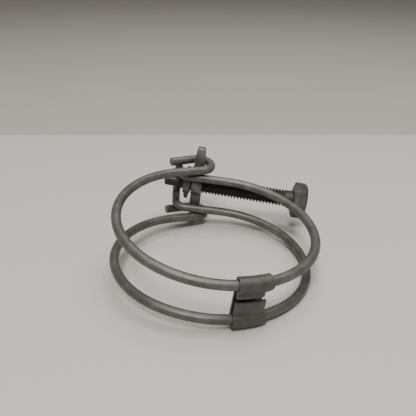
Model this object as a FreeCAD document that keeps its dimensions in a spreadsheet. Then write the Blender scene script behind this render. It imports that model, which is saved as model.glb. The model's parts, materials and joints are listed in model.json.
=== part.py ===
"""Double-wire hose clamp, as a parametric FreeCAD document.

Frame: the hose axis is Z, the origin is on it, midway between the two wire rings.  The rings' overlap,
with the bolt, is at +Y; the spacer clip is at -Y.  Lengths are millimetres, angles are degrees.

Pieces
  spacer_clip       sheet band round both wires with its seam at the front, keeps the rings apart
  wire_loop         right half of both rings, one wire, closed by a crook behind the bolt tip
  wire_hook_upper   left half of the upper ring, ends in a hook round the nut bar
  wire_hook_lower   left half of the lower ring, its mirror image
  nut_bar           flattened bar with a threaded eye, held in the two hooks
  seat_plate        eyed plate on the bolt's journal, pushes the crook of wire_loop
  bolt              hex bolt, pulls the nut bar and the seat plate apart to close the rings
"""
import FreeCAD, Part
import math
import os

os.makedirs("parts", exist_ok=True)

Vector = FreeCAD.Vector
Rotation = FreeCAD.Rotation
Placement = FreeCAD.Placement
X_AXIS = Vector(1, 0, 0)
Z_AXIS = Vector(0, 0, 1)
ORIGIN = Vector(0, 0, 0)

# alias, value, what it is
DIMENSIONS = [
    ("wire_diameter", 3.2, "spring wire of both rings"),
    ("front_radius", 34.9, "centreline radius of the rings beside the clip"),
    ("front_centre_y", 3.9, "centre of that radius along Y"),
    ("front_arc_left", 36.4, "arc of the left half at the front radius, from the clip"),
    ("side_radius", 29.9, "centreline radius of the rings' sides"),
    ("side_arc_left", 131.5, "arc of the left half at the side radius"),
    ("lead_left", 9.8, "straight lead into each hook"),
    ("hook_radius", 4.45, "centreline radius of the hooks round the nut bar"),
    ("hook_turn", 186.0, "angle a hook turns through"),
    ("stub_length", 10.2, "straight stub past a hook"),
    ("front_arc_right", 36.6, "arc of the right half at the front radius, from the clip"),
    ("side_arc_right", 132.0, "arc of the right half at the side radius"),
    ("crook_radius", 4.2, "plan radius where the right half turns outward"),
    ("crook_heading", 80.0, "direction of the legs past that turn, from the X axis"),
    ("crook_x", -4.9, "X of the closed end of the right half"),
    ("crook_y", 42.95, "Y of the closed end of the right half"),
    ("closing_radius", 3.6, "radius of the two corners of the closed end"),
    ("height_clip", 6.4, "height of a ring above the mid-plane at the clip"),
    ("height_crook", 6.8, "height of the right half at the overlap"),
    ("height_hook", 10.3, "height of the left half at the overlap"),
    ("clip_start", -93.6, "polar angle of the clip's left mouth"),
    ("clip_arc", 16.4, "angle the clip covers"),
    ("clip_sheet", 0.9, "thickness of the clip's sheet"),
    ("clip_play", 0.06, "gap between wire and clip"),
    ("clip_curl", 0.5, "how far outside the wire's centreline the clip's flaps stand"),
    ("clip_seam_low", 0.75, "height of the lower flap's free edge"),
    ("clip_seam_high", 2.35, "height of the upper flap's free edge"),
    ("clip_tuck", 1.8, "from a wire's centre to where its flap joins the roll"),
    ("wire_gap", 0.25, "gap between the two wire ends inside the clip"),
    ("swivel_yaw", -19.3, "angle of the bolt from the X axis as the clamp lies open"),
    ("bar_rise", 2.1, "height of the bolt axis above the mid-plane"),
    ("bar_thickness", 4.1, "nut bar along the bolt"),
    ("bar_width", 3.7, "nut bar across the bolt"),
    ("bar_round", 2.65, "radius that takes the nut bar's long edges off, where it turns in the hooks"),
    ("bar_half_height", 15.6, "centre of the eye to either end of the nut bar"),
    ("bar_tip_height", 5.0, "tapered tip of the nut bar"),
    ("bar_tip_thickness", 2.9, "nut bar along the bolt at its very end"),
    ("bar_tip_width", 2.7, "nut bar across the bolt at its very end"),
    ("eye_radius", 4.4, "outside of the nut bar's eye"),
    ("thread_radius", 3.4, "major radius of the thread"),
    ("thread_root", 2.72, "root radius of the thread"),
    ("thread_pitch", 1.27, "twenty threads to the inch"),
    ("thread_play", 0.06, "radial clearance of the nut bar's bore"),
    ("seat_offset", 3.95, "centre of the nut bar to centre of the seat plate"),
    ("seat_thickness", 3.1, "seat plate at its eye"),
    ("seat_tip_thickness", 1.4, "seat plate at its tips"),
    ("seat_radius", 4.2, "outside of the seat plate's eye"),
    ("seat_shoulder", 3.2, "half width of the seat plate where its tips leave the eye"),
    ("seat_half_height", 6.4, "centre of the eye to either tip of the seat plate"),
    ("seat_width", 3.0, "width of the seat plate's tips"),
    ("seat_play", 0.07, "radial clearance of the seat plate on the journal"),
    ("journal_radius", 2.7, "bolt journal that carries the seat plate"),
    ("journal_length", 5.9, "length of the journal"),
    ("pilot_radius", 2.3, "plain tip of the bolt"),
    ("pilot_chamfer", 0.5, "chamfer at the end of the bolt"),
    ("bolt_length", 50.8, "under the head to the tip, two inches"),
    ("head_reach", 37.9, "centre of the nut bar to the underside of the head"),
    ("head_flats", 12.2, "across the flats of the head"),
    ("head_height", 5.2, "height of the head"),
    ("head_chamfer_height", 0.8, "height of the chamfer on the head's corners"),
    ("shank_length", 2.6, "plain neck under the head"),
]

doc = FreeCAD.newDocument("hose_clamp")
sheet = doc.addObject("Spreadsheet::Sheet", "sizes")
for row, (alias, value, meaning) in enumerate(DIMENSIONS, start=1):
    sheet.set("A%d" % row, meaning)
    sheet.set("B%d" % row, str(value))
    sheet.setAlias("B%d" % row, alias)
doc.recompute()


def size(alias):
    """The value of one cell of the sheet."""
    return float(getattr(sheet, alias))


def bind(item, **formulas):
    """Bind properties of an object to formulas in which sheet cells stand as <alias>."""
    for prop, formula in formulas.items():
        item.setExpression(prop, formula.replace("<", "sizes.").replace(">", ""))
    return item


def primitive(kind, name, placement=Placement(), **formulas):
    """A Part primitive whose sizes are bound to the sheet."""
    item = doc.addObject("Part::" + kind, name)
    item.Placement = placement
    return bind(item, **formulas)


def fuse(name, items):
    joined = doc.addObject("Part::MultiFuse", name)
    joined.Shapes = items
    return joined


def common(name, items):
    shared = doc.addObject("Part::MultiCommon", name)
    shared.Shapes = items
    return shared


def cut(name, base, tool):
    result = doc.addObject("Part::Cut", name)
    result.Base = base
    result.Tool = tool
    return result


def along_x(x=0.0):
    """Placement that turns a primitive's own Z axis onto +X."""
    return Placement(Vector(x, 0, 0), Rotation(Vector(0, 1, 0), 90))


# ------------------------------------------------------------------ wire paths


class PlanWalk:
    """Walks a tangent path of arcs and straights in the XY plane and collects its edges."""

    def __init__(self, start, heading_deg):
        self.at = start
        self.heading = math.radians(heading_deg)
        self.edges = []

    def direction(self, turn=0.0):
        return Vector(math.cos(self.heading + turn), math.sin(self.heading + turn), 0)

    def straight(self, length):
        end = self.at + self.direction() * length
        self.edges.append(Part.LineSegment(self.at, end).toShape())
        self.at = end
        return self

    def arc(self, radius, turn_deg):
        """Turn left for a positive angle, right for a negative one."""
        turn = math.radians(turn_deg)
        side = math.copysign(1.0, turn)
        centre = self.at + self.direction(side * math.pi / 2) * radius
        spoke = self.at - centre
        middle = centre + Rotation(Z_AXIS, turn_deg / 2).multVec(spoke)
        end = centre + Rotation(Z_AXIS, turn_deg).multVec(spoke)
        self.edges.append(Part.Arc(self.at, middle, end).toShape())
        self.at = end
        self.heading += turn
        return self


    def corner(self, target, heading_deg, radius, short_by):
        """Go straight, turn right, and run at a new heading to a distance short_by from the target."""
        new_heading = math.radians(heading_deg)
        leg = Vector(math.cos(new_heading), math.sin(new_heading), 0)
        here = self.direction()
        across = target - self.at
        reach = (across.x * leg.y - across.y * leg.x) / (here.x * leg.y - here.y * leg.x)
        meeting = self.at + here * reach
        turn = self.heading - new_heading
        tangent = radius * math.tan(turn / 2)
        self.straight(reach - tangent)
        self.arc(radius, -math.degrees(turn))
        return self.straight((target - meeting).Length - tangent - short_by)


def front_point(polar_deg):
    """Point of the front arc, in plan, at a polar angle about the arc's own centre."""
    angle = math.radians(polar_deg)
    radius = size("front_radius")
    return Vector(radius * math.cos(angle), size("front_centre_y") + radius * math.sin(angle), 0)


FRONT_Y = size("front_centre_y") - size("front_radius")


def incline(rise_at_overlap):
    """Placement that lifts a flat path to the clip's height and tilts it up towards the overlap."""
    run = 2 * abs(FRONT_Y)
    tilt = math.degrees(math.atan((rise_at_overlap - size("height_clip")) / run))
    pivot = Vector(0, FRONT_Y, 0)
    turn = Placement(ORIGIN, Rotation(X_AXIS, tilt), pivot)
    return Placement(Vector(0, 0, size("height_clip")), Rotation()).multiply(turn)


def moved(edges, placement):
    result = []
    for edge in edges:
        copy = edge.copy()
        copy.transformShape(placement.toMatrix())
        result.append(copy)
    return result


def left_path():
    """Upper left half: clip mouth, round the left side, then the hook.  Returns edges and hook centre."""
    mouth = size("clip_start")
    walk = PlanWalk(front_point(mouth), mouth - 90)
    walk.arc(size("front_radius"), -size("front_arc_left"))
    walk.arc(size("side_radius"), -size("side_arc_left"))
    walk.straight(size("lead_left"))
    centre = walk.at + walk.direction(math.pi / 2) * size("hook_radius")
    walk.arc(size("hook_radius"), size("hook_turn"))
    walk.straight(size("stub_length"))
    placement = incline(size("height_hook"))
    return moved(walk.edges, placement), placement.multVec(centre)


def closed_end(top, along, radius):
    """From the top, bend down out of the direction along, then straight to the mid-plane."""
    down = (along * along.z - Z_AXIS).normalize()
    axis = along.cross(down)
    turn = 90 + math.degrees(math.asin(along.z))
    centre = top + down * radius
    spoke = top - centre
    middle = centre + Rotation(axis, turn / 2).multVec(spoke)
    corner = centre + Rotation(axis, turn).multVec(spoke)
    bend = Part.Arc(top, middle, corner).toShape()
    return [bend, Part.LineSegment(corner, Vector(corner.x, corner.y, 0)).toShape()]


def right_path():
    """The whole right wire: clip, upper right half, crook, closed end, and back by the lower half."""
    first_gap = math.degrees((size("wire_diameter") / 2 + size("wire_gap")) / size("front_radius"))
    start = size("clip_start") + first_gap
    walk = PlanWalk(front_point(start), start + 90)
    walk.arc(size("front_radius"), size("front_arc_right") - first_gap)
    walk.arc(size("side_radius"), size("side_arc_right"))
    end = Vector(size("crook_x"), size("crook_y"), 0)
    walk.corner(end, size("crook_heading"), size("crook_radius"), size("closing_radius"))
    placement = incline(size("height_crook"))
    upper = moved(walk.edges, placement)
    along = placement.Rotation.multVec(walk.direction())
    upper += closed_end(placement.multVec(walk.at), along, size("closing_radius"))
    lower = [edge.mirror(ORIGIN, Z_AXIS) for edge in upper]
    return upper + lower


def sweep_wire(name, edges):
    """A round wire of the sheet's diameter along a path."""
    spine = doc.addObject("Part::Feature", name + "_path")
    spine.Shape = Part.Wire(Part.__sortEdges__(edges))
    first = spine.Shape.OrderedEdges[0]
    start = spine.Shape.OrderedVertexes[0].Point
    param = first.getParameterByLength(0)
    if (first.valueAt(param) - start).Length > 1e-6:
        param = first.LastParameter
    tangent = first.tangentAt(param)
    section = doc.addObject("Part::Circle", name + "_section")
    section.Placement = Placement(start, Rotation(Z_AXIS, tangent))
    bind(section, Radius="<wire_diameter> / 2")
    swept = doc.addObject("Part::Sweep", name + "_sweep")
    swept.Sections = [section]
    swept.Spine = (spine, ["Edge%d" % (i + 1) for i in range(len(spine.Shape.Edges))])
    swept.Solid = True
    swept.Frenet = False
    return swept


def hooked_wire(name, edges, end):
    """A left half: the swept wire and the round end that turns in the clip's mouth."""
    swept = sweep_wire(name, edges)
    ball = primitive("Sphere", name + "_end", Placement(end, Rotation()), Radius="<wire_diameter> / 2")
    return fuse(name, [swept, ball])


hook_edges, HOOK_CENTRE = left_path()
MOUTH = front_point(size("clip_start"))
mouth_up = incline(size("height_hook")).multVec(MOUTH)
mouth_down = Vector(mouth_up.x, mouth_up.y, -mouth_up.z)

wire_hook_upper = hooked_wire("wire_hook_upper", hook_edges, mouth_up)
lower_edges = [edge.mirror(ORIGIN, Z_AXIS) for edge in hook_edges]
wire_hook_lower = hooked_wire("wire_hook_lower", lower_edges, mouth_down)
wire_loop = sweep_wire("wire_loop", right_path())


# ------------------------------------------------------------------ spacer clip


def clip_sector(kind, name, height, start=None, **formulas):
    """A ring sector about the front arc's own axis, covering the clip's angle."""
    start = size("clip_start") if start is None else start
    place = Placement(Vector(0, size("front_centre_y"), height), Rotation(Z_AXIS, start))
    return primitive(kind, name, place, **formulas)


def annulus(name, inner, outer, low, tall):
    """A flat-sided ring sector between two radii, standing on the height low."""
    disc = clip_sector("Cylinder", name + "_out", low, Radius=outer, Height=tall, Angle="<clip_arc>")
    core = clip_sector("Cylinder", name + "_in", low - 1, -180, Radius=inner, Height=tall + " + 2")
    return cut(name, disc, core)


def make_clip():
    bore = "<front_radius> %s (<wire_diameter> / 2 + <clip_play>)"
    skin = "<front_radius> %s (<wire_diameter> / 2 + <clip_play> + <clip_sheet>)"
    bore_in = bore % "-"
    skin_in = skin % "-"
    high = size("height_clip")
    body = []
    hollow = []
    for tag, side in (("upper", 1), ("lower", -1)):
        body.append(clip_sector("Torus", "clip_roll_" + tag, side * high, Radius1="<front_radius>",
                                Radius2="<wire_diameter> / 2 + <clip_play> + <clip_sheet>",
                                Angle3="<clip_arc>"))
        hollow.append(clip_sector("Torus", "clip_bore_" + tag, side * high, -180,
                                  Radius1="<front_radius>", Radius2="<wire_diameter> / 2 + <clip_play>"))
    body.append(annulus("clip_web", skin_in, bore_in, -high, "2 * <height_clip>"))
    flap_in = "<front_radius> + <clip_curl>"
    flap_out = flap_in + " + <clip_sheet>"
    body.append(annulus("clip_flap_upper", flap_in, flap_out, size("clip_seam_high"),
                        "<height_clip> - <clip_tuck> - <clip_seam_high>"))
    body.append(annulus("clip_flap_lower", flap_in, flap_out, size("clip_tuck") - high,
                        "<height_clip> - <clip_tuck> + <clip_seam_low>"))
    hollow.append(annulus_full("clip_gap", bore_in, flap_in, -high, "2 * <height_clip>"))
    return cut("spacer_clip", fuse("clip_body", body), fuse("clip_hollow", hollow))


def annulus_full(name, inner, outer, low, tall):
    """The same ring all the way round, to cut with."""
    disc = clip_sector("Cylinder", name + "_out", low, Radius=outer, Height=tall)
    core = clip_sector("Cylinder", name + "_in", low - 1, Radius=inner, Height=tall + " + 2")
    return cut(name, disc, core)


spacer_clip = make_clip()


# ------------------------------------------------------------------ nut bar, seat plate, bolt
# These three are drawn about the middle of the nut bar's eye, with the bolt axis along X, and then placed.

SCREW_PLACE = Placement(Vector(HOOK_CENTRE.x, HOOK_CENTRE.y, size("bar_rise")),
                        Rotation(Z_AXIS, size("swivel_yaw")))


def tapered_tip(name, placement, base, end, tall):
    """A wedge that stands on the plane y = 0 and thins out along Y; base and end are (x size, z size)."""
    return primitive("Wedge", name, placement, Ymin="0", Ymax=tall,
                     Xmin="-%s / 2" % base[0], Xmax="%s / 2" % base[0],
                     Zmin="-%s / 2" % base[1], Zmax="%s / 2" % base[1],
                     X2min="-%s / 2" % end[0], X2max="%s / 2" % end[0],
                     Z2min="-%s / 2" % end[1], Z2max="%s / 2" % end[1])


def make_nut_bar():
    straight = size("bar_half_height") - size("bar_tip_height")
    thick, wide = size("bar_thickness"), size("bar_width")
    blank = [primitive("Box", "bar_slab", Placement(Vector(-thick / 2, -wide / 2, -straight), Rotation()),
                       Length="<bar_thickness>", Width="<bar_width>",
                       Height="2 * (<bar_half_height> - <bar_tip_height>)")]
    for tag, side in (("top", 1), ("foot", -1)):
        blank.append(tapered_tip("bar_" + tag,
                                 Placement(Vector(0, 0, side * straight), Rotation(X_AXIS, 90 * side)),
                                 ("<bar_thickness>", "<bar_width>"),
                                 ("<bar_tip_thickness>", "<bar_tip_width>"), "<bar_tip_height>"))
    rod = primitive("Cylinder", "bar_rod", Placement(Vector(0, 0, -size("bar_half_height")), Rotation()),
                    Radius="<bar_round>", Height="2 * <bar_half_height>")
    bar = common("bar_rounded", [fuse("bar_blank", blank), rod])
    eye = primitive("Cylinder", "bar_eye", along_x(-thick / 2),
                    Radius="<eye_radius>", Height="<bar_thickness>")
    bore = primitive("Cylinder", "bar_bore", along_x(-thick),
                     Radius="<thread_radius> + <thread_play>", Height="2 * <bar_thickness>")
    return cut("nut_bar", fuse("bar_with_eye", [bar, eye]), bore)


def make_seat_plate():
    """An eye with two tips that thin out upward and downward."""
    middle = -size("seat_offset")
    tips = []
    for tag, side in (("top", 1), ("foot", -1)):
        tips.append(tapered_tip("seat_" + tag, Placement(Vector(middle, 0, 0), Rotation(X_AXIS, 90 * side)),
                                ("<seat_thickness>", "2 * <seat_shoulder>"),
                                ("<seat_tip_thickness>", "<seat_width>"), "<seat_half_height>"))
    eye = primitive("Cylinder", "seat_eye", along_x(middle - size("seat_thickness") * 0.45),
                    Radius="<seat_radius>", Height="<seat_thickness> * 0.9")
    bore = primitive("Cylinder", "seat_bore", along_x(middle - size("seat_thickness")),
                     Radius="<journal_radius> + <seat_play>", Height="2 * <seat_thickness>")
    return cut("seat_plate", fuse("seat_blank", tips + [eye]), bore)


def thread_outline(start, end):
    """Half-section of a ridged shank between two stations along X, as points (x, radius)."""
    pitch = size("thread_pitch")
    crest, root = size("thread_radius"), size("thread_root")
    land = pitch / 8
    points = [(start, 0.0), (start, root)]
    for ridge in range(int((end - start) / pitch)):
        x = start + ridge * pitch
        points.append((x + pitch / 2 - land / 2, crest))
        points.append((x + pitch / 2 + land / 2, crest))
        points.append((x + pitch, root))
    points.append((points[-1][0], 0.0))
    return points


def make_bolt():
    shoulder = -size("seat_offset") + size("seat_thickness") / 2 + 0.1
    under_head = size("head_reach")
    thread_end = under_head - size("shank_length")
    outline = [Vector(x, 0, radius) for x, radius in thread_outline(shoulder, thread_end)]
    profile = Part.Face(Part.makePolygon(outline + [outline[0]]))
    thread = doc.addObject("Part::Feature", "bolt_thread")
    thread.Shape = profile.revolve(ORIGIN, X_AXIS, 360)
    ridges_end = outline[-1].x
    neck = primitive("Cylinder", "bolt_neck", along_x(ridges_end - 0.2), Radius="<thread_radius>")
    neck.Height = under_head - ridges_end + 0.3
    tip = under_head - size("bolt_length")
    chamfer = size("pilot_chamfer")
    journal = primitive("Cylinder", "bolt_journal", along_x(shoulder - size("journal_length")),
                        Radius="<journal_radius>", Height="<journal_length> + 0.3")
    pilot = primitive("Cylinder", "bolt_pilot", along_x(tip + chamfer), Radius="<pilot_radius>")
    pilot.Height = shoulder - tip - chamfer
    point = primitive("Cone", "bolt_point", along_x(tip), Radius1="<pilot_radius> - <pilot_chamfer>",
                      Radius2="<pilot_radius>", Height="<pilot_chamfer>")
    return fuse("bolt", [thread, neck, journal, pilot, point, make_head(under_head)])


def make_head(under_head):
    """Hexagon with two flats level, its outer corners turned off."""
    corner = "<head_flats> / (2 * cos(30deg))"
    flats_level = Rotation(Vector(0, 1, 0), 90).multiply(Rotation(Z_AXIS, 90))
    hexagon = primitive("Prism", "head_hexagon", Placement(Vector(under_head, 0, 0), flats_level),
                        Circumradius=corner, Height="<head_height>")
    hexagon.Polygon = 6
    drum = primitive("Cylinder", "head_drum", along_x(under_head), Radius=corner,
                     Height="<head_height> - <head_chamfer_height>")
    crown = primitive("Cone", "head_crown",
                      along_x(under_head + size("head_height") - size("head_chamfer_height")),
                      Radius1=corner, Radius2="<head_flats> * 0.475", Height="<head_chamfer_height>")
    return common("bolt_head", [hexagon, fuse("head_turned", [drum, crown])])


nut_bar = make_nut_bar()
seat_plate = make_seat_plate()
bolt = make_bolt()
doc.recompute()
for piece in (nut_bar, seat_plate, bolt):
    piece.Placement = SCREW_PLACE
wire_loop.Label = "wire_loop"

NODES = {
    "spacer_clip": spacer_clip,
    "wire_loop": wire_loop,
    "wire_hook_upper": wire_hook_upper,
    "wire_hook_lower": wire_hook_lower,
    "nut_bar": nut_bar,
    "seat_plate": seat_plate,
    "bolt": bolt,
}

# ------------------------------------------------------------------ checks and files
doc.recompute()
for item in doc.Objects:
    if "Invalid" in item.State or "Error" in item.State:
        raise RuntimeError("%s did not build: %s" % (item.Name, item.State))

for node, item in NODES.items():
    shape = item.Shape
    if shape.isNull() or not shape.isValid() or not shape.Solids:
        raise RuntimeError("%s has no valid solid" % node)
    shape.exportStep("parts/%s.step" % node)
    box = shape.BoundBox
    print("%-16s %d solid(s) %8.1f mm3  x %.2f..%.2f y %.2f..%.2f z %.2f..%.2f" % (
        node, len(shape.Solids), shape.Volume, box.XMin, box.XMax, box.YMin, box.YMax, box.ZMin, box.ZMax))
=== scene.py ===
"""The looks of the double-wire hose clamp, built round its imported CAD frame.

The wires, the clip, the nut bar, the seat plate and the bolt each get meshes of their own: swept wire with
sheared ends, a bolt with a true helical thread, and steel parts with broken edges.  All are galvanised
steel in node materials.  The frame is in metres; sizes named here are millimetres and degrees.
"""

import json
import math

import bmesh
import bpy
from mathutils import Matrix, Quaternion, Vector, noise


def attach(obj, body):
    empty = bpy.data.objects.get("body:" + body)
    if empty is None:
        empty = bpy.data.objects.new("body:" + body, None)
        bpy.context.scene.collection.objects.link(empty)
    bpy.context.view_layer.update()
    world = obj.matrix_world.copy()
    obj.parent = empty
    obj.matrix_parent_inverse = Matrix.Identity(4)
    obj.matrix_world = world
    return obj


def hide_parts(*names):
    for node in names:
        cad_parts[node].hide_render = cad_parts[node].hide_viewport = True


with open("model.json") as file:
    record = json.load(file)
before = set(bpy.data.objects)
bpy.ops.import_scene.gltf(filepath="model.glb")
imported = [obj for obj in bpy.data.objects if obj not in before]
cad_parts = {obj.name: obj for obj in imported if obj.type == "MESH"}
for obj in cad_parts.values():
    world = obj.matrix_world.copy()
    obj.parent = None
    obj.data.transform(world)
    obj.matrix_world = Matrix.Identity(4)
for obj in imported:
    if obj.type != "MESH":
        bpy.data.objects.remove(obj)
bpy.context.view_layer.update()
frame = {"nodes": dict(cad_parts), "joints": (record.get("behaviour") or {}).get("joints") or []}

MM = 0.001
TAU = 2 * math.pi
UP = Vector((0, 0, 1))


# ------------------------------------------------------------------ sizes shared with the CAD parts

WIRE_RADIUS = 1.6
FRONT_RADIUS = 34.9
FRONT_CENTRE_Y = 3.9
FRONT_Y = FRONT_CENTRE_Y - FRONT_RADIUS
SIDE_RADIUS = 29.9
HEIGHT_CLIP = 6.4
HEIGHT_CROOK = 6.8
HEIGHT_HOOK = 10.3

FRONT_ARC_LEFT = 36.4
SIDE_ARC_LEFT = 131.5
LEAD_LEFT = 9.8
HOOK_RADIUS = 4.45
HOOK_TURN = 186.0
STUB_LENGTH = 10.2

WIRE_GAP = 0.25
FRONT_ARC_RIGHT = 36.6
SIDE_ARC_RIGHT = 132.0
CROOK_AT = Vector((-4.9, 42.95, 0))
CROOK_HEADING = 80.0
CROOK_RADIUS = 4.2
CLOSING_RADIUS = 3.6

CLIP_START = -93.6
CLIP_ARC = 16.4
CLIP_SHEET = 0.9
CLIP_PLAY = 0.06
CLIP_CURL = 0.5
CLIP_SEAM_LOW = 0.75
CLIP_SEAM_HIGH = 2.35

SEAT_MIDDLE = -3.95
SEAT_THICKNESS = 3.1
SEAT_TIP_THICKNESS = 1.4
SEAT_RADIUS = 4.2
SEAT_SHOULDER = 3.2
SEAT_HALF_HEIGHT = 6.4
SEAT_WIDTH = 3.0

BAR_THICKNESS = 4.1
BAR_WIDTH = 3.7
BAR_HALF_HEIGHT = 15.6
BAR_TIP_HEIGHT = 5.0
BAR_TIP_THICKNESS = 2.9
BAR_TIP_WIDTH = 2.7
EYE_RADIUS = 4.4

THREAD_PITCH = 1.27
THREAD_CREST = 3.4
JOURNAL_RADIUS = 2.7
JOURNAL_LENGTH = 5.9
PILOT_RADIUS = 2.3
PILOT_CHAMFER = 0.5
BOLT_LENGTH = 50.8
NECK = 2.6
HEAD_FLATS = 12.2
HEAD_HEIGHT = 5.2
UNDER_HEAD = 37.9
TIP = UNDER_HEAD - BOLT_LENGTH
THREAD_START = SEAT_MIDDLE + SEAT_THICKNESS / 2 + 0.1
JOURNAL_START = THREAD_START - JOURNAL_LENGTH

# The bolt, nut bar and seat plate are drawn with the bolt along X and then put in place by this matrix.
BOLT_YAW = math.radians(-19.3)
JOINT = {joint["name"]: joint for joint in frame["joints"]}
EYE = Vector(JOINT["bolt_turn"]["pos_m"])
SCREW_SPACE = Matrix.Translation(EYE) @ Matrix.Rotation(BOLT_YAW, 4, "Z")


# ------------------------------------------------------------------ helpers


def mm(*values):
    """A point given in millimetres, in metres."""
    return Vector(values) * MM


def round_bolt(x, radius, angle):
    """A point at a radius and an angle round the bolt's axis, in place."""
    return SCREW_SPACE @ mm(x, radius * math.cos(angle), radius * math.sin(angle))


def smooth_step(value):
    value = min(max(value, 0.0), 1.0)
    return value * value * (3 - 2 * value)


def new_object(name, verts, faces, body, replaced=None):
    """A smooth object from points in metres, riding a body and standing for its CAD node."""
    mesh = bpy.data.meshes.new(name)
    mesh.from_pydata([tuple(v) for v in verts], [], faces)
    mesh.validate()
    obj = bpy.data.objects.new(name, mesh)
    bpy.context.scene.collection.objects.link(obj)
    for polygon in mesh.polygons:
        polygon.use_smooth = True
    outward(mesh)
    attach(obj, body)
    if replaced:
        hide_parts(replaced)
    return obj


def outward(mesh):
    """Faces point away from the solid."""
    work = bmesh.new()
    work.from_mesh(mesh)
    bmesh.ops.recalc_face_normals(work, faces=work.faces)
    work.to_mesh(mesh)
    work.free()


def sharp_edges(obj, angle):
    """Keeps the edges sharper than the angle sharp in the smooth shading."""
    work = bmesh.new()
    work.from_mesh(obj.data)
    for edge in work.edges:
        if len(edge.link_faces) == 2 and edge.calc_face_angle(0) > math.radians(angle):
            edge.smooth = False
    work.to_mesh(obj.data)
    work.free()


def flat_caps(obj, segments):
    """Flat shading for the end faces, which are the ones with a corner for every segment."""
    for polygon in obj.data.polygons:
        if len(polygon.vertices) == segments:
            polygon.use_smooth = False


def break_edges(obj, width, segments, angle):
    """Bevels the edges sharper than the angle, keeps the flats flat, and bakes that into the mesh."""
    bevel = obj.modifiers.new("edges", "BEVEL")
    bevel.width = width * MM
    bevel.segments = segments
    bevel.limit_method = "ANGLE"
    bevel.angle_limit = math.radians(angle)
    normals = obj.modifiers.new("normals", "WEIGHTED_NORMAL")
    normals.keep_sharp = True
    graph = bpy.context.evaluated_depsgraph_get()
    mesh = bpy.data.meshes.new_from_object(obj.evaluated_get(graph))
    obj.modifiers.clear()
    obj.data = mesh


def ring_faces(rings, segments, close_ends=True):
    """Quads between rings of points, with one face closing either end."""
    faces = []
    for ring in range(rings - 1):
        base = ring * segments
        for s in range(segments):
            t = (s + 1) % segments
            faces.append((base + s, base + t, base + segments + t, base + segments + s))
    if close_ends:
        last = (rings - 1) * segments
        faces.append(tuple(range(segments)))
        faces.append(tuple(range(last, last + segments)))
    return faces


def rounded_rectangle(width, height, radius, steps=4):
    """Outline of a rectangle with round corners, as (across, up) pairs."""
    points = []
    for sx, sy, start in ((1, 1, 0), (-1, 1, 90), (-1, -1, 180), (1, -1, 270)):
        for i in range(steps + 1):
            angle = math.radians(start + 90 * i / steps)
            points.append((sx * (width / 2 - radius) + radius * math.cos(angle),
                           sy * (height / 2 - radius) + radius * math.sin(angle)))
    return points


# ------------------------------------------------------------------ wire paths

PATH_STEP = 0.5
HOOK_STEP = 0.3
ROUND_END = 1.58


class PlanWalk:
    """Walks a tangent path of arcs and straights in plan and keeps points along it."""

    def __init__(self, start, heading):
        self.at = Vector(start)
        self.heading = math.radians(heading)
        self.points = [self.at.copy()]

    def direction(self, turn=0.0):
        return Vector((math.cos(self.heading + turn), math.sin(self.heading + turn), 0))

    def straight(self, length):
        start = self.at.copy()
        count = max(1, round(length / PATH_STEP))
        for i in range(1, count + 1):
            self.points.append(start + self.direction() * (length * i / count))
        self.at = self.points[-1].copy()

    def arc(self, radius, turn_deg, step=PATH_STEP):
        """A turn to the left where the angle is positive, to the right where it is negative."""
        turn = math.radians(turn_deg)
        side = math.copysign(1.0, turn)
        centre = self.at + self.direction(side * math.pi / 2) * radius
        spoke = self.at - centre
        count = max(3, round(abs(turn) * radius / step))
        for i in range(1, count + 1):
            self.points.append(centre + Quaternion(UP, turn * i / count) @ spoke)
        self.at = self.points[-1].copy()
        self.heading += turn

    def corner(self, target, heading, radius, short_by):
        """Straight on, a right turn, and a run at a new heading that stops short of the target."""
        new_heading = math.radians(heading)
        leg = Vector((math.cos(new_heading), math.sin(new_heading), 0))
        here = self.direction()
        across = target - self.at
        reach = (across.x * leg.y - across.y * leg.x) / (here.x * leg.y - here.y * leg.x)
        meeting = self.at + here * reach
        turn = self.heading - new_heading
        tangent = radius * math.tan(turn / 2)
        self.straight(reach - tangent)
        self.arc(radius, -math.degrees(turn))
        self.straight((target - meeting).length - tangent - short_by)


def front_point(polar):
    """A point on the front arc, at an angle about that arc's own centre."""
    angle = math.radians(polar)
    return Vector((FRONT_RADIUS * math.cos(angle), FRONT_CENTRE_Y + FRONT_RADIUS * math.sin(angle), 0))


def incline(height_at_overlap):
    """Lifts a flat path to the clip's height and tilts it up towards the overlap."""
    tilt = math.atan((height_at_overlap - HEIGHT_CLIP) / (2 * abs(FRONT_Y)))
    pivot = Matrix.Translation((0, FRONT_Y, HEIGHT_CLIP))
    return pivot @ Matrix.Rotation(tilt, 4, "X") @ Matrix.Translation((0, -FRONT_Y, 0))


def mirrored(points):
    """The same path on the other side of the middle plane."""
    return [Vector((p.x, p.y, -p.z)) for p in points]


def hook_path():
    """Centreline of the upper left half, from its round end inside the clip to its sheared end."""
    walk = PlanWalk(front_point(CLIP_START), CLIP_START - 90)
    walk.arc(FRONT_RADIUS, -FRONT_ARC_LEFT)
    walk.arc(SIDE_RADIUS, -SIDE_ARC_LEFT)
    walk.straight(LEAD_LEFT)
    walk.arc(HOOK_RADIUS, HOOK_TURN, HOOK_STEP)
    walk.straight(STUB_LENGTH)
    lift = incline(HEIGHT_HOOK)
    points = [lift @ p for p in walk.points]
    inward = (points[0] - points[1]).normalized()
    return [points[0] + inward * ROUND_END] + points


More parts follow.
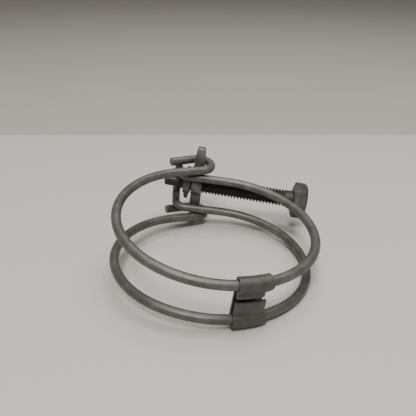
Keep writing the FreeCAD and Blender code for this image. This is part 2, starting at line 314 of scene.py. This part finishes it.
def loop_path():
    """Centreline of the whole right wire: clip, upper half, crook, closed end, lower half."""
    first_gap = math.degrees((WIRE_RADIUS + WIRE_GAP) / FRONT_RADIUS)
    start = CLIP_START + first_gap
    walk = PlanWalk(front_point(start), start + 90)
    walk.arc(FRONT_RADIUS, FRONT_ARC_RIGHT - first_gap)
    walk.arc(SIDE_RADIUS, SIDE_ARC_RIGHT)
    walk.corner(CROOK_AT, CROOK_HEADING, CROOK_RADIUS, CLOSING_RADIUS)
    lift = incline(HEIGHT_CROOK)
    upper = [lift @ p for p in walk.points]
    along = (lift.to_3x3() @ walk.direction()).normalized()
    down = (along * along.z - UP).normalized()
    axis = along.cross(down)
    turn = math.pi / 2 + math.asin(along.z)
    top = upper[-1].copy()
    centre = top + down * CLOSING_RADIUS
    bend_steps = 18
    for i in range(1, bend_steps + 1):
        upper.append(centre + Quaternion(axis, turn * i / bend_steps) @ (top - centre))
    end = upper[-1].copy()
    drop_steps = 8
    for i in range(1, drop_steps + 1):
        upper.append(Vector((end.x, end.y, end.z * (1 - i / drop_steps))))
    return upper + mirrored(reversed(upper[:-1]))


# ------------------------------------------------------------------ wires

WIRE_SEGMENTS = 40
SHEARED_EDGE = 0.22
CLIP_END_EDGE = 0.25
END_SHARES = (0.0, 0.02, 0.06, 0.14, 0.26, 0.42, 0.62, 0.82, 1.0)
PRESS_AT = 107.0
PRESS_WIDTH = 1.4
PRESS_DEPTH = 0.05


def lengths_along(points):
    """Distance from a path's start to each of its points."""
    lengths = [0.0]
    for a, b in zip(points, points[1:]):
        lengths.append(lengths[-1] + (b - a).length)
    return lengths


def fine_start(points, edge):
    """The same path with close steps over its first bit, where the wire's rim is rounded."""
    inward = (points[1] - points[0]).normalized()
    close = [points[0] + inward * (edge * share) for share in END_SHARES]
    return close + [p for p in points[1:] if (p - points[0]).length > edge * 1.3]


def end_rounding(distance, edge):
    """How much the radius shrinks in the last bit of a wire."""
    if distance >= edge:
        return 0.0
    return edge - math.sqrt(max(edge * edge - (edge - distance) ** 2, 0.0))


def sweep(points, lengths, radius_at):
    """Rings of points in metres round a path, turned as little as the path allows."""
    verts = []
    tangent = (points[1] - points[0]).normalized()
    normal = (UP - tangent * UP.dot(tangent)).normalized()
    for i, point in enumerate(points):
        before = points[max(i - 1, 0)]
        after = points[min(i + 1, len(points) - 1)]
        new_tangent = (after - before).normalized()
        normal = tangent.rotation_difference(new_tangent) @ normal
        tangent = new_tangent
        side = tangent.cross(normal)
        for s in range(WIRE_SEGMENTS):
            angle = TAU * s / WIRE_SEGMENTS
            spoke = normal * math.cos(angle) + side * math.sin(angle)
            verts.append((point + spoke * radius_at(lengths[i], angle)) * MM)
    return verts


def wire_piece(node, path, body, edge_start, edge_end, seed, press_depth=0.0):
    """A drawn wire: slightly uneven, with broken end rims and, on a hook, a faint press mark."""
    points = fine_start(path, edge_start)
    points = fine_start(points[::-1], edge_end)[::-1]
    lengths = lengths_along(points)

    def radius_at(along, angle):
        place = Vector((math.cos(angle), math.sin(angle), along * 0.13 + seed))
        uneven = 0.014 * noise.noise(place) + 0.008 * noise.noise(place * 3.1)
        mark = math.exp(-((along - PRESS_AT) / PRESS_WIDTH) ** 2) * max(0.0, math.cos(angle)) ** 6
        shrink = end_rounding(along, edge_start) + end_rounding(lengths[-1] - along, edge_end)
        return WIRE_RADIUS + uneven * 0.8 - 0.014 - press_depth * mark - shrink

    verts = sweep(points, lengths, radius_at)
    faces = ring_faces(len(points), WIRE_SEGMENTS)
    obj = new_object(node + "_skin", verts, faces, body, node)
    wire_uv(obj, lengths)
    flat_caps(obj, WIRE_SEGMENTS)
    return obj


def wire_uv(obj, lengths):
    """UV along the wire in centimetres and once round it, for the draw lines."""
    layer = obj.data.uv_layers.new(name="along_wire")
    for polygon in obj.data.polygons:
        cap = len(polygon.vertices) == WIRE_SEGMENTS
        columns = [v % WIRE_SEGMENTS for v in polygon.vertices]
        wraps = max(columns) - min(columns) > WIRE_SEGMENTS / 2 and not cap
        for loop in polygon.loop_indices:
            ring, column = divmod(obj.data.loops[loop].vertex_index, WIRE_SEGMENTS)
            around = 1.0 if wraps and column == 0 else column / WIRE_SEGMENTS
            layer.data[loop].uv = (lengths[ring] / 10, around)


# ------------------------------------------------------------------ bolt

THREAD_ROOT = 2.64
THREAD_LAND = 0.16
THREAD_FLOOR = 0.12
RUN_IN = 0.9
RUN_OUT = 1.6
NECK_RADIUS = THREAD_CREST - 0.1
HEAD_FILLET = 0.45
JOURNAL_CHAMFER = 0.25
JOURNAL_GROOVES = (1.3, 2.5, 3.7)
GROOVE_DEPTH = 0.16
GROOVE_WIDTH = 0.17
SHANK_SEGMENTS = 64
HEAD_SEGMENTS = 96


def thread_shape(phase):
    """Height of a rolled thread over one pitch, 0 at the root and 1 at the crest."""
    distance = abs((phase % 1.0) - 0.5) * 2
    flank = (1 - THREAD_LAND - distance) / (1 - THREAD_LAND - THREAD_FLOOR)
    return smooth_step(flank) * 0.35 + min(max(flank, 0.0), 1.0) * 0.65


def journal_radius(from_start):
    """Radius of the journal, with turning grooves and a chamfer towards the pilot."""
    radius = JOURNAL_RADIUS - max(0.0, JOURNAL_CHAMFER - from_start)
    for groove in JOURNAL_GROOVES:
        radius -= GROOVE_DEPTH * math.exp(-((from_start - groove) / GROOVE_WIDTH) ** 2)
    return radius


def shank_radius(x, angle):
    """Radius of the turned part of the bolt at a station along its axis."""
    if x < JOURNAL_START:
        return PILOT_RADIUS - max(0.0, TIP + PILOT_CHAMFER - x)
    if x < THREAD_START:
        return journal_radius(x - JOURNAL_START)
    height = thread_shape(x / THREAD_PITCH - angle / TAU)
    fade_in = smooth_step((x - THREAD_START) / RUN_IN)
    fade_out = smooth_step((UNDER_HEAD - NECK - x) / RUN_OUT)
    root = THREAD_ROOT + (NECK_RADIUS - THREAD_ROOT) * (1 - fade_out)
    crest = THREAD_CREST - (1 - fade_in) * 0.35
    wear = 0.03 * noise.noise(Vector((x * 0.9, math.cos(angle) * 2, math.sin(angle) * 2)))
    radius = root + (crest - 0.02 + wear - root) * height * fade_out
    into_fillet = x - UNDER_HEAD + HEAD_FILLET
    if into_fillet > 0:
        radius += HEAD_FILLET - math.sqrt(max(HEAD_FILLET ** 2 - into_fillet ** 2, 0.0))
    return radius


def bolt_stations():
    """Where the shank has rings: close in the journal and the thread, and double at its steps."""
    pilot_start = TIP + PILOT_CHAMFER + 0.1
    stations = [TIP, TIP + PILOT_CHAMFER / 2, TIP + PILOT_CHAMFER, pilot_start]
    stations += [pilot_start + (JOURNAL_START - pilot_start - 0.1) * i / 6 for i in range(1, 7)]
    stations += [JOURNAL_START - 0.002, JOURNAL_START]
    count = 72
    stations += [JOURNAL_START + JOURNAL_LENGTH * i / count for i in range(1, count)]
    stations += [THREAD_START - 0.002]
    count = int((UNDER_HEAD - THREAD_START) / (THREAD_PITCH / 16))
    stations += [THREAD_START + (UNDER_HEAD - THREAD_START) * i / count for i in range(count + 1)]
    return stations


def make_shank():
    """Pilot, journal, helical thread and neck."""
    stations = bolt_stations()
    angles = [TAU * s / SHANK_SEGMENTS for s in range(SHANK_SEGMENTS)]
    verts = [round_bolt(x, shank_radius(x, angle), angle) for x in stations for angle in angles]
    faces = ring_faces(len(stations), SHANK_SEGMENTS)
    shank = new_object("bolt_shank", verts, faces, "screw")
    flat_caps(shank, SHANK_SEGMENTS)
    return shank


def head_profile():
    """Stations of the head as (x, cut into the flats, largest radius): washer face, flats, dished top."""
    corner = HEAD_FLATS / 2 / math.cos(math.pi / 6)
    washer = HEAD_FLATS / 2 - 0.15
    above_face = [
        (0.0, 0, 2.6), (0.0, 0, washer - 0.2), (0.08, 0, washer), (0.28, 0, washer), (0.30, 0, washer + 0.05),
        (0.32, 0.06, corner - 0.30), (0.40, 0.01, corner - 0.12), (0.6, 0, corner - 0.06),
        (1.4, 0, corner - 0.06), (2.6, 0, corner - 0.06),
    ]
    below_top = [
        (1.35, 0, corner - 0.08), (0.95, 0, corner - 0.14), (0.72, 0.01, corner - 0.32),
        (0.50, 0.02, corner - 0.62), (0.28, 0.04, corner - 0.94), (0.10, 0.16, corner - 1.22),
        (0.02, 0.34, corner - 1.42), (0.0, 1.0, corner - 2.0),
        (0.04, 0, 3.0), (0.16, 0, 2.0), (0.20, 0, 0.8),
    ]
    top = UNDER_HEAD + HEAD_HEIGHT
    return ([(UNDER_HEAD + height, cut, limit) for height, cut, limit in above_face]
            + [(top - depth, cut, limit) for depth, cut, limit in below_top])


def head_radius(angle, cut, limit):
    """A hexagon with two flats level, cut back to a circle where the limit is less."""
    from_flat = (angle - math.pi / 2 + math.pi / 6) % (math.pi / 3) - math.pi / 6
    return min((HEAD_FLATS / 2 - cut) / math.cos(from_flat), limit)


def make_head():
    """A cold-formed hexagonal head with chamfered corners."""
    profile = head_profile()
    verts = []
    for x, cut, limit in profile:
        for s in range(HEAD_SEGMENTS):
            angle = TAU * s / HEAD_SEGMENTS
            place = Vector((x * 0.8, math.cos(angle) * 1.7, math.sin(angle) * 1.7))
            uneven = 1 + 0.004 * noise.noise(place) - 0.002
            verts.append(round_bolt(x, head_radius(angle, cut, limit) * uneven, angle))
    faces = ring_faces(len(profile), HEAD_SEGMENTS)
    head = new_object("bolt_head", verts, faces, "screw")
    sharp_edges(head, 28)
    return head


# ------------------------------------------------------------------ nut bar and seat plate

BAR_CORNER = 0.42
BAR_END_BREAK = ((0.0, 0.55), (0.15, 0.2), (0.4, 0.0))
SEAT_CORNER = 0.3
SEAT_ROOT = 2.8
EYE_PLAY = 0.07
EYE_EDGE = 0.28
EYE_MOUTH = 0.25
EYE_SEGMENTS = 72


def make_bar():
    """The nut bar's body: a flattened bar with tapered ends."""
    straight = BAR_HALF_HEIGHT - BAR_TIP_HEIGHT
    lowest = [(-BAR_HALF_HEIGHT + rise, cut_back) for rise, cut_back in BAR_END_BREAK]
    lowest += [(-straight - BAR_TIP_HEIGHT / 2, 0), (-straight, 0), (-straight + 0.6, 0)]
    middle = [(-straight + 0.6 + (2 * straight - 1.2) * i / 24, 0) for i in range(1, 24)]
    highest = [(-z, cut_back) for z, cut_back in reversed(lowest)]
    levels = lowest + middle + highest
    verts = []
    for z, cut_back in levels:
        share = max(0.0, (abs(z) - straight) / BAR_TIP_HEIGHT)
        thick = BAR_THICKNESS + (BAR_TIP_THICKNESS - BAR_THICKNESS) * share - cut_back
        wide = BAR_WIDTH + (BAR_TIP_WIDTH - BAR_WIDTH) * share - cut_back
        outline = rounded_rectangle(thick, wide, BAR_CORNER)
        for u, v in outline:
            uneven = 1 - 0.0075 * noise.noise(Vector((u, v, z * 0.5)))
            verts.append(SCREW_SPACE @ mm(u * uneven, v * uneven, z))
    faces = ring_faces(len(levels), len(outline))
    bar = new_object("nut_bar_body", verts, faces, "nut", "nut_bar")
    sharp_edges(bar, 50)
    return bar


def make_eye(name, body, middle, thickness, outer, bore, threaded):
    """A boss round the bolt: a turned ring with broken edges, and an internal thread in the nut bar."""
    half = thickness / 2
    profile = [(-half, bore + EYE_MOUTH), (-half, outer - EYE_EDGE)]
    for degrees in (22, 45, 68, 90):
        turn = math.radians(degrees)
        rise = EYE_EDGE * (1 - math.cos(turn))
        profile.append((-half + rise, outer - EYE_EDGE + EYE_EDGE * math.sin(turn)))
    profile += [(-x, radius) for x, radius in reversed(profile)]
    count = 40 if threaded else 4
    inner = [(half - thickness * i / count, bore) for i in range(count + 1)]
    verts = []
    for x, radius in profile + inner:
        for s in range(EYE_SEGMENTS):
            angle = TAU * s / EYE_SEGMENTS
            here = radius
            if threaded and radius == bore:
                mouth = max(0.0, 0.3 - (half - abs(x)))
                height = thread_shape((x + middle) / THREAD_PITCH - angle / TAU + 0.5)
                here = bore + mouth + 0.06 * (1 - height)
            verts.append(round_bolt(middle + x, here, angle))
    rings = len(profile) + len(inner)
    faces = ring_faces(rings, EYE_SEGMENTS, close_ends=False)
    last = (rings - 1) * EYE_SEGMENTS
    for s in range(EYE_SEGMENTS):
        t = (s + 1) % EYE_SEGMENTS
        faces.append((last + s, last + t, t, s))
    eye = new_object(name, verts, faces, body)
    sharp_edges(eye, 40)
    return eye


def make_seat_tip(name, side):
    """One tapered tip of the seat plate, above or below its eye."""
    levels = [SEAT_ROOT + (SEAT_HALF_HEIGHT - SEAT_ROOT) * i / 10 for i in range(10)]
    levels += [SEAT_HALF_HEIGHT - 0.12, SEAT_HALF_HEIGHT]
    verts = []
    for z in levels:
        share = z / SEAT_HALF_HEIGHT
        cut_back = 0.2 if z == SEAT_HALF_HEIGHT else 0.0
        thick = SEAT_THICKNESS + (SEAT_TIP_THICKNESS - SEAT_THICKNESS) * share - cut_back
        wide = 2 * SEAT_SHOULDER + (SEAT_WIDTH - 2 * SEAT_SHOULDER) * share - cut_back
        outline = rounded_rectangle(thick, wide, SEAT_CORNER)
        for u, v in outline:
            verts.append(SCREW_SPACE @ mm(SEAT_MIDDLE + u, v, side * z))
    tip = new_object(name, verts, ring_faces(len(levels), len(outline)), "seat")
    sharp_edges(tip, 50)
    return tip


# ------------------------------------------------------------------ clip

UPPER_FLAP_CUT = 0.18
LOWER_FLAP_CUT = 0.08
FLAP_CUT_ROWS = 26
FLAP_FADE_ROWS = 14
FLAP_BEND = 0.7
CLIP_COLUMNS = 40


def clip_section():
    """The clip's section as a line in (out, up): flap, roll, web, roll, flap, with the seam between."""
    middle = WIRE_RADIUS + CLIP_PLAY + CLIP_SHEET / 2
    flap = CLIP_CURL + CLIP_SHEET / 2
    bend_at = flap + FLAP_BEND
    reach = math.sqrt((middle + FLAP_BEND) ** 2 - bend_at ** 2)
    meet = math.atan2(reach, bend_at)
    bend_height = HEIGHT_CLIP - reach

    def half(seam):
        """From a flap's free edge to just short of the web's middle, for the upper wire."""
        points = [(flap, seam + (bend_height - seam) * i / 8) for i in range(8)]
        for i in range(8):
            angle = math.pi - meet * i / 8
            points.append((bend_at + FLAP_BEND * math.cos(angle), bend_height + FLAP_BEND * math.sin(angle)))
        for i in range(41):
            angle = -meet + (math.pi + meet) * i / 40
            points.append((middle * math.cos(angle), HEIGHT_CLIP + middle * math.sin(angle)))
        return points + [(-middle, HEIGHT_CLIP * (1 - i / 12)) for i in range(1, 12)]

    lower = [(out, -up) for out, up in reversed(half(-CLIP_SEAM_LOW))]
    return half(CLIP_SEAM_HIGH) + [(-middle, 0.0)] + lower


def clip_normal(path, i):
    """Direction out of the sheet at a point of the section."""
    before = path[max(i - 1, 0)]
    after = path[min(i + 1, len(path) - 1)]
    along = Vector((after[0] - before[0], after[1] - before[1])).normalized()
    return Vector((along.y, -along.x))


def clip_span(i, last):
    """Share of the clip's arc that a row of the sheet covers: its flaps are cut back on the right."""
    upper = UPPER_FLAP_CUT * smooth_step((FLAP_CUT_ROWS - i) / FLAP_FADE_ROWS)
    lower = LOWER_FLAP_CUT * smooth_step((FLAP_CUT_ROWS - last + i) / FLAP_FADE_ROWS)
    return 1 - upper - lower


def clip_point(out, up, angle):
    radius = FRONT_RADIUS + out
    return mm(radius * math.cos(angle), FRONT_CENTRE_Y + radius * math.sin(angle), up)


def make_clip():
    """The spacer clip: one sheet bent round both wires, slightly wavy, with its seam at the front."""
    path = clip_section()
    rows = len(path)
    verts = []
    index = {}
    for layer, side in enumerate((-1, 1)):
        for i, (out, up) in enumerate(path):
            normal = clip_normal(path, i)
            for c in range(CLIP_COLUMNS + 1):
                share = c / CLIP_COLUMNS
                angle = math.radians(CLIP_START) + math.radians(CLIP_ARC) * share * clip_span(i, rows - 1)
                waves = noise.noise(Vector((share * 3, i * 0.11, 4.0)))
                shift = side * CLIP_SHEET / 2 - waves * (0.025 if side > 0 else 0.0125)
                index[layer, i, c] = len(verts)
                verts.append(clip_point(out + normal.x * shift, up + normal.y * shift, angle))
    faces = []
    for layer in (0, 1):
        for i in range(rows - 1):
            for c in range(CLIP_COLUMNS):
                faces.append((index[layer, i, c], index[layer, i, c + 1],
                              index[layer, i + 1, c + 1], index[layer, i + 1, c]))
    for i in range(rows - 1):
        for c in (0, CLIP_COLUMNS):
            faces.append((index[0, i, c], index[0, i + 1, c], index[1, i + 1, c], index[1, i, c]))
    for c in range(CLIP_COLUMNS):
        for i in (0, rows - 1):
            faces.append((index[0, i, c], index[1, i, c], index[1, i, c + 1], index[0, i, c + 1]))
    clip = new_object("spacer_clip_sheet", verts, faces, "fixed_side", "spacer_clip")
    break_edges(clip, 0.14, 2, 50)
    return clip


# ------------------------------------------------------------------ materials


class Nodes:
    """A material and a few short ways to add nodes to it."""

    def __init__(self, name):
        self.material = bpy.data.materials.new(name)
        self.material.use_nodes = True
        self.tree = self.material.node_tree
        self.shader = self.tree.nodes["Principled BSDF"]

    def add(self, kind, **settings):
        node = self.tree.nodes.new(kind)
        for key, value in settings.items():
            setattr(node, key, value)
        return node

    def link(self, a, b):
        self.tree.links.new(a, b)

    def noise(self, vector, scale, detail, roughness=0.55):
        node = self.add("ShaderNodeTexNoise")
        node.inputs["Scale"].default_value = scale
        node.inputs["Detail"].default_value = detail
        node.inputs["Roughness"].default_value = roughness
        self.link(vector, node.inputs["Vector"])
        return node.outputs["Fac"]

    def ramp(self, value, stops):
        node = self.add("ShaderNodeValToRGB")
        while len(node.color_ramp.elements) < len(stops):
            node.color_ramp.elements.new(0.5)
        for element, (position, colour) in zip(node.color_ramp.elements, stops):
            element.position = position
            element.color = (*colour, 1)
        self.link(value, node.inputs["Fac"])
        return node.outputs["Color"]

    def plain(self, colour):
        node = self.add("ShaderNodeRGB")
        node.outputs[0].default_value = (*colour, 1)
        return node.outputs[0]

    def spread(self, value, low, high):
        """Maps a 0..1 value onto low..high."""
        node = self.add("ShaderNodeMapRange")
        node.inputs["To Min"].default_value = low
        node.inputs["To Max"].default_value = high
        self.link(value, node.inputs["Value"])
        return node.outputs["Result"]

    def mix(self, share, a, b, blend="MIX"):
        """Mixes two colours by a fixed share or by another node's value."""
        node = self.add("ShaderNodeMix", data_type="RGBA", blend_type=blend)
        if isinstance(share, float):
            node.inputs["Factor"].default_value = share
        else:
            self.link(share, node.inputs["Factor"])
        self.link(a, node.inputs["A"])
        self.link(b, node.inputs["B"])
        return node.outputs["Result"]

    def stretched(self, source, scale):
        node = self.add("ShaderNodeMapping")
        node.inputs["Scale"].default_value = scale
        self.link(source, node.inputs["Vector"])
        return node.outputs["Vector"]

    def bump(self, height, strength, distance):
        node = self.add("ShaderNodeBump")
        node.inputs["Strength"].default_value = strength
        node.inputs["Distance"].default_value = distance
        self.link(height, node.inputs["Height"])
        return node.outputs["Normal"]


def grey(value, warmth=0.0):
    return (value * (1 + warmth), value, value * (1 - warmth))


def steel(name, dark, light, rough, grain, wear, draw_lines=False):
    """Galvanised steel: mottled grey zinc with fine grain, dull patches and rubbed spots."""
    nodes = Nodes(name)
    coordinates = nodes.add("ShaderNodeTexCoord")
    place = coordinates.outputs["Object"]
    mottle = nodes.noise(place, 260, 5)
    blotch = nodes.noise(place, 70, 3)
    height = nodes.noise(place, grain, 3, 0.7)
    base = nodes.ramp(mottle, [(0.32, grey(dark, 0.03)), (0.52, grey((dark + light) / 2, 0.025)),
                               (0.70, grey(light, 0.02))])
    stain = nodes.ramp(blotch, [(0.34, grey(0.80, 0.02)), (0.62, grey(1.0))])
    colour = nodes.mix(0.8, base, stain, "MULTIPLY")
    if draw_lines:
        lines = nodes.noise(nodes.stretched(coordinates.outputs["UV"], (0.55, 26.0, 1.0)), 3.0, 4, 0.6)
        streak = nodes.ramp(lines, [(0.36, grey(0.72)), (0.55, grey(1.0)), (0.72, grey(1.18))])
        colour = nodes.mix(0.8, colour, streak, "MULTIPLY")
        height = nodes.mix(0.8, height, lines)
    spots = nodes.noise(place, 520, 2, 0.5)
    rubbed = nodes.ramp(spots, [(0.66, (0, 0, 0)), (0.76, (wear, wear, wear))])
    colour = nodes.mix(rubbed, colour, nodes.plain(grey(light * 1.7, 0.01)))
    nodes.link(colour, nodes.shader.inputs["Base Color"])
    nodes.link(nodes.spread(mottle, rough - 0.07, rough + 0.13), nodes.shader.inputs["Roughness"])
    nodes.shader.inputs["Metallic"].default_value = 0.6
    nodes.link(nodes.bump(height, 0.35, 0.00005), nodes.shader.inputs["Normal"])
    return nodes.material


def paper(name, near, far, edge):
    """The stage: pale paper, a little darker past a line at the back."""
    nodes = Nodes(name)
    coordinates = nodes.add("ShaderNodeTexCoord")
    split = nodes.add("ShaderNodeSeparateXYZ")
    nodes.link(coordinates.outputs["Object"], split.inputs["Vector"])
    step = nodes.add("ShaderNodeMapRange")
    step.inputs["From Min"].default_value = edge - 0.0012
    step.inputs["From Max"].default_value = edge + 0.0012
    nodes.link(split.outputs["Y"], step.inputs["Value"])
    fibre = nodes.noise(coordinates.outputs["Object"], 900, 3)
    tone = nodes.ramp(fibre, [(0.3, grey(near * 0.985, 0.035)), (0.7, grey(near * 1.01, 0.035))])
    colour = nodes.mix(step.outputs["Result"], tone, nodes.plain(grey(far, 0.045)))
    nodes.link(colour, nodes.shader.inputs["Base Color"])
    nodes.shader.inputs["Roughness"].default_value = 0.75
    return nodes.material


# ------------------------------------------------------------------ stage, light, camera (metres)

FLOOR_RISE_X = 0.107
FLOOR_RISE_Y = -0.087
FLOOR_HALF = 1.6
FLOOR_GAP = 0.00005
BACK_YAW = math.radians(-12.48)
BACK_LINE = 0.1451

CAMERA_AT = mm(-45.62, -126.89, 90.98)
CAMERA_TURN = (59.286, -7.563, -13.621)
CAMERA_LENS = 41.65

ROOM_COLOUR = (1.0, 0.955, 0.90, 1)
ROOM_STRENGTH = 0.26
LAMP_COLOUR = (1.0, 0.96, 0.915)


def make_floor():
    """A floor tilted as the clamp stands on it, just under its lowest point."""
    lowest = min(v.co.z - FLOOR_RISE_X * v.co.x - FLOOR_RISE_Y * v.co.y
                 for node in frame["nodes"].values() for v in node.data.vertices)
    normal = Vector((-FLOOR_RISE_X, -FLOOR_RISE_Y, 1)).normalized()
    tilt = UP.rotation_difference(normal).to_matrix().to_4x4()
    corners = [(x * FLOOR_HALF, y * FLOOR_HALF, 0) for x, y in ((-1, -1), (1, -1), (1, 1), (-1, 1))]
    mesh = bpy.data.meshes.new("floor")
    mesh.from_pydata(corners, [], [(0, 1, 2, 3)])
    floor = bpy.data.objects.new("floor", mesh)
    bpy.context.scene.collection.objects.link(floor)
    place = Matrix.Translation((0, 0, lowest - FLOOR_GAP))
    floor.matrix_world = place @ tilt @ Matrix.Rotation(BACK_YAW, 4, "Z")
    floor.data.materials.append(paper("paper", 0.48, 0.36, BACK_LINE))


def make_camera():
    data = bpy.data.cameras.new("camera")
    data.lens = CAMERA_LENS
    data.sensor_width = 36
    data.clip_start = 0.005
    camera = bpy.data.objects.new("camera", data)
    bpy.context.scene.collection.objects.link(camera)
    camera.location = CAMERA_AT
    camera.rotation_euler = [math.radians(a) for a in CAMERA_TURN]
    bpy.context.scene.camera = camera


def area_light(name, place, size, power):
    """A square lamp that faces the clamp."""
    data = bpy.data.lights.new(name, "AREA")
    data.size = size
    data.energy = power
    data.color = LAMP_COLOUR
    light = bpy.data.objects.new(name, data)
    bpy.context.scene.collection.objects.link(light)
    light.location = place
    light.rotation_euler = (-Vector(place)).to_track_quat("-Z", "Y").to_euler()


def make_lights():
    world = bpy.data.worlds.new("room")
    bpy.context.scene.world = world
    world.use_nodes = True
    background = world.node_tree.nodes["Background"]
    background.inputs["Color"].default_value = ROOM_COLOUR
    background.inputs["Strength"].default_value = ROOM_STRENGTH
    area_light("key", (-0.22, -0.30, 0.62), size=0.20, power=4.4)
    area_light("overhead", (0.05, 0.12, 0.80), size=0.55, power=5.6)


# ------------------------------------------------------------------ build


def give_material(pieces, material):
    for piece in pieces:
        piece.data.materials.clear()
        piece.data.materials.append(material)


def make_wires():
    hook = hook_path()
    pieces = [
        wire_piece("wire_hook_upper", hook, "hook_side", ROUND_END, SHEARED_EDGE, 1.0, PRESS_DEPTH),
        wire_piece("wire_hook_lower", mirrored(hook), "hook_side", ROUND_END, SHEARED_EDGE, 7.0, PRESS_DEPTH),
        wire_piece("wire_loop", loop_path(), "fixed_side", CLIP_END_EDGE, CLIP_END_EDGE, 13.0),
    ]
    give_material(pieces, steel("galvanised_wire", dark=0.105, light=0.165, rough=0.46, grain=2600,
                                wear=0.22, draw_lines=True))


def make_nut_and_seat():
    bar = make_bar()
    bar_bore = THREAD_CREST + EYE_PLAY
    eye = make_eye("nut_bar_eye", "nut", 0.0, BAR_THICKNESS, EYE_RADIUS, bar_bore, threaded=True)
    tips = [make_seat_tip("seat_plate_top", 1), make_seat_tip("seat_plate_foot", -1)]
    seat_bore = JOURNAL_RADIUS + EYE_PLAY
    thickness = SEAT_THICKNESS * 0.9
    ring = make_eye("seat_plate_eye", "seat", SEAT_MIDDLE, thickness, SEAT_RADIUS, seat_bore, threaded=False)
    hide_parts("seat_plate")
    give_material([bar, eye, ring, *tips],
                  steel("bar_zinc", dark=0.095, light=0.20, rough=0.46, grain=1800, wear=0.3))


make_camera()
make_floor()
make_lights()
make_wires()
give_material([make_clip()], steel("clip_zinc", dark=0.070, light=0.118, rough=0.48, grain=2200, wear=0.14))
make_nut_and_seat()
shank = make_shank()
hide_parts("bolt")
give_material([shank], steel("bolt_zinc", dark=0.028, light=0.052, rough=0.46, grain=2400, wear=0.16))
give_material([make_head()], steel("head_zinc", dark=0.060, light=0.115, rough=0.48, grain=2000, wear=0.16))
